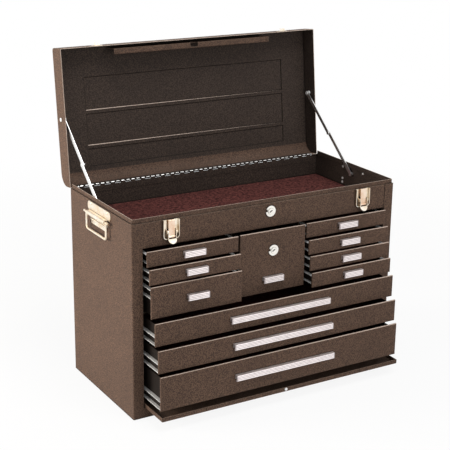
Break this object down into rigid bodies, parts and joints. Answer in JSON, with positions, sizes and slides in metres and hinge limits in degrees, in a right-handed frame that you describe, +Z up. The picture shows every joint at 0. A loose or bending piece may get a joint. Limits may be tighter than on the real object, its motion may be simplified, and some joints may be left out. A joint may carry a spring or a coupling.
{
  "type": "machinist tool chest",
  "caption": "Steel machinist's chest: sliding drawers, a felt-lined till under a stayed lid, a stowed drop front, draw latches, locks and side handles.",
  "frame": {"origin": "centre of the cabinet's bottom face", "axes": "+X to the right seen from the front, +Y to the back, +Z up; at rest the lid is open, each drawer is pulled out a little and the front panel is stowed"},
  "size_m": [0.6888, 0.4655, 0.7455],
  "materials": {
    "brown_paint": "brown wrinkle paint, low gloss",
    "felt": "maroon felt",
    "pull_plate": "bright nickel plate, satin",
    "nickel_plate": "bright nickel plate, warm",
    "zinc_plate": "bright zinc plate",
    "lock_nickel": "polished nickel plate"
  },
  "bodies": {
    "cabinet": {"cabinet_shell": "brown_paint", "till_front_panel": "brown_paint", "till_floor": "brown_paint", "till_felt": "felt", "drawer_shelf": "brown_paint", "drawer_dividers": "brown_paint", "cabinet_rails": "zinc_plate", "cabinet_rivets": "zinc_plate", "hinge_body_leaf": "zinc_plate", "hinge_pin": "zinc_plate", "stay_brackets": "zinc_plate", "latch_bases": "nickel_plate", "till_lock_case": "lock_nickel", "handle_plates": "nickel_plate"},
    "lid": {"lid_shell": "brown_paint", "lid_lock_bar": "brown_paint", "lid_catches": "nickel_plate", "lid_stay_studs": "zinc_plate", "hinge_lid_leaf": "zinc_plate"},
    "front_panel": {"front_panel": "brown_paint", "front_panel_stud": "zinc_plate"},
    "till_lock_plug": {"till_lock_plug": "lock_nickel"},
    "drawer_lock_plug": {"drawer_lock_plug": "lock_nickel"},
    "stay_lower_left": {"stay_lower_left": "zinc_plate"},
    "stay_upper_left": {"stay_upper_left": "zinc_plate"},
    "latch_lever_left": {"latch_lever_left": "nickel_plate"},
    "latch_strap_left": {"latch_strap_left": "nickel_plate"},
    "handle_bail_left": {"handle_bail_left": "nickel_plate"},
    "stay_lower_right": {"stay_lower_right": "zinc_plate"},
    "stay_upper_right": {"stay_upper_right": "zinc_plate"},
    "latch_lever_right": {"latch_lever_right": "nickel_plate"},
    "latch_strap_right": {"latch_strap_right": "nickel_plate"},
    "handle_bail_right": {"handle_bail_right": "nickel_plate"},
    "drawer_wide_lower": {"drawer_wide_lower": "brown_paint", "pull_wide_lower": "pull_plate"},
    "drawer_wide_middle": {"drawer_wide_middle": "brown_paint", "pull_wide_middle": "pull_plate"},
    "drawer_wide_upper": {"drawer_wide_upper": "brown_paint", "pull_wide_upper": "pull_plate"},
    "drawer_left_lower": {"drawer_left_lower": "brown_paint", "pull_left_lower": "pull_plate"},
    "drawer_left_middle": {"drawer_left_middle": "brown_paint", "pull_left_middle": "pull_plate"},
    "drawer_left_upper": {"drawer_left_upper": "brown_paint", "pull_left_upper": "pull_plate"},
    "drawer_right_row_1": {"drawer_right_row_1": "brown_paint", "pull_right_row_1": "pull_plate"},
    "drawer_right_row_2": {"drawer_right_row_2": "brown_paint", "pull_right_row_2": "pull_plate"},
    "drawer_right_row_3": {"drawer_right_row_3": "brown_paint", "pull_right_row_3": "pull_plate"},
    "drawer_right_row_4": {"drawer_right_row_4": "brown_paint", "pull_right_row_4": "pull_plate"},
    "drawer_centre": {"drawer_centre": "brown_paint", "pull_centre": "pull_plate", "drawer_lock_case": "lock_nickel"}
  },
  "joints": [
    {"name": "lid_hinge", "type": "hinge", "parent": "cabinet", "child": "lid", "pos_m": [0, 0.1532, 0.4344], "axis": [1, 0, 0], "range_deg": [0, 96.4]},
    {"name": "stay_foot_left", "type": "hinge", "parent": "cabinet", "child": "stay_lower_left", "pos_m": [-0.3272, 0.003, 0.418], "axis": [1, 0, 0], "range_deg": [-31.51, 0]},
    {"name": "stay_head_left", "type": "hinge", "parent": "lid", "child": "stay_upper_left", "pos_m": [-0.3272, 0.19377, 0.58079], "axis": [1, 0, 0], "range_deg": [0, 33.59]},
    {"name": "stay_foot_right", "type": "hinge", "parent": "cabinet", "child": "stay_lower_right", "pos_m": [0.3272, 0.003, 0.418], "axis": [1, 0, 0], "range_deg": [-31.51, 0]},
    {"name": "stay_head_right", "type": "hinge", "parent": "lid", "child": "stay_upper_right", "pos_m": [0.3272, 0.19377, 0.58079], "axis": [1, 0, 0], "range_deg": [0, 33.59]},
    {"name": "wide_lower_slide", "type": "slide", "parent": "cabinet", "child": "drawer_wide_lower", "axis": [0, -1, 0], "range_m": [-0.088, 0.112]},
    {"name": "wide_middle_slide", "type": "slide", "parent": "cabinet", "child": "drawer_wide_middle", "axis": [0, -1, 0], "range_m": [-0.079, 0.121]},
    {"name": "wide_upper_slide", "type": "slide", "parent": "cabinet", "child": "drawer_wide_upper", "axis": [0, -1, 0], "range_m": [-0.065, 0.135]},
    {"name": "left_lower_slide", "type": "slide", "parent": "cabinet", "child": "drawer_left_lower", "axis": [0, -1, 0], "range_m": [-0.048, 0.152]},
    {"name": "left_middle_slide", "type": "slide", "parent": "cabinet", "child": "drawer_left_middle", "axis": [0, -1, 0], "range_m": [-0.042, 0.158]},
    {"name": "left_upper_slide", "type": "slide", "parent": "cabinet", "child": "drawer_left_upper", "axis": [0, -1, 0], "range_m": [-0.031, 0.169]},
    {"name": "right_row_1_slide", "type": "slide", "parent": "cabinet", "child": "drawer_right_row_1", "axis": [0, -1, 0], "range_m": [-0.053, 0.147]},
    {"name": "right_row_2_slide", "type": "slide", "parent": "cabinet", "child": "drawer_right_row_2", "axis": [0, -1, 0], "range_m": [-0.044, 0.156]},
    {"name": "right_row_3_slide", "type": "slide", "parent": "cabinet", "child": "drawer_right_row_3", "axis": [0, -1, 0], "range_m": [-0.037, 0.163]},
    {"name": "right_row_4_slide", "type": "slide", "parent": "cabinet", "child": "drawer_right_row_4", "axis": [0, -1, 0], "range_m": [-0.0255, 0.1745]},
    {"name": "centre_slide", "type": "slide", "parent": "cabinet", "child": "drawer_centre", "axis": [0, -1, 0], "range_m": [-0.0286, 0.1714]},
    {"name": "front_panel_slide", "type": "slide", "parent": "cabinet", "child": "front_panel", "axis": [0, -1, 0], "range_m": [0, 0.22]},
    {"name": "latch_lever_turn_left", "type": "hinge", "parent": "cabinet", "child": "latch_lever_left", "pos_m": [-0.243, -0.158, 0.408], "axis": [-1, 0, 0], "range_deg": [0, 120]},
    {"name": "latch_strap_turn_left", "type": "hinge", "parent": "latch_lever_left", "child": "latch_strap_left", "pos_m": [-0.243, -0.158, 0.398], "axis": [-1, 0, 0], "range_deg": [-120, 0]},
    {"name": "handle_turn_left", "type": "hinge", "parent": "cabinet", "child": "handle_bail_left", "pos_m": [-0.3398, 0, 0.41], "axis": [0, 1, 0], "range_deg": [0, 90]},
    {"name": "latch_lever_turn_right", "type": "hinge", "parent": "cabinet", "child": "latch_lever_right", "pos_m": [0.243, -0.158, 0.408], "axis": [-1, 0, 0], "range_deg": [0, 120]},
    {"name": "latch_strap_turn_right", "type": "hinge", "parent": "latch_lever_right", "child": "latch_strap_right", "pos_m": [0.243, -0.158, 0.398], "axis": [-1, 0, 0], "range_deg": [-120, 0]},
    {"name": "handle_turn_right", "type": "hinge", "parent": "cabinet", "child": "handle_bail_right", "pos_m": [0.3398, 0, 0.41], "axis": [0, -1, 0], "range_deg": [0, 90]},
    {"name": "till_lock_turn", "type": "hinge", "parent": "cabinet", "child": "till_lock_plug", "pos_m": [0, -0.152, 0.4158], "axis": [0, -1, 0], "range_deg": [0, 90]},
    {"name": "drawer_lock_turn", "type": "hinge", "parent": "drawer_centre", "child": "drawer_lock_plug", "pos_m": [0, -0.1668, 0.3318], "axis": [0, -1, 0], "range_deg": [0, 90]}
  ],
  "couplings": [
    {"joint": "stay_foot_left", "follows": "lid_hinge", "ratio": -0.32664},
    {"joint": "stay_head_left", "follows": "lid_hinge", "ratio": 0.34825},
    {"joint": "stay_foot_right", "follows": "lid_hinge", "ratio": -0.32664},
    {"joint": "stay_head_right", "follows": "lid_hinge", "ratio": 0.34825},
    {"joint": "latch_strap_turn_left", "follows": "latch_lever_turn_left", "ratio": -1},
    {"joint": "latch_strap_turn_right", "follows": "latch_lever_turn_right", "ratio": -1}
  ]
}
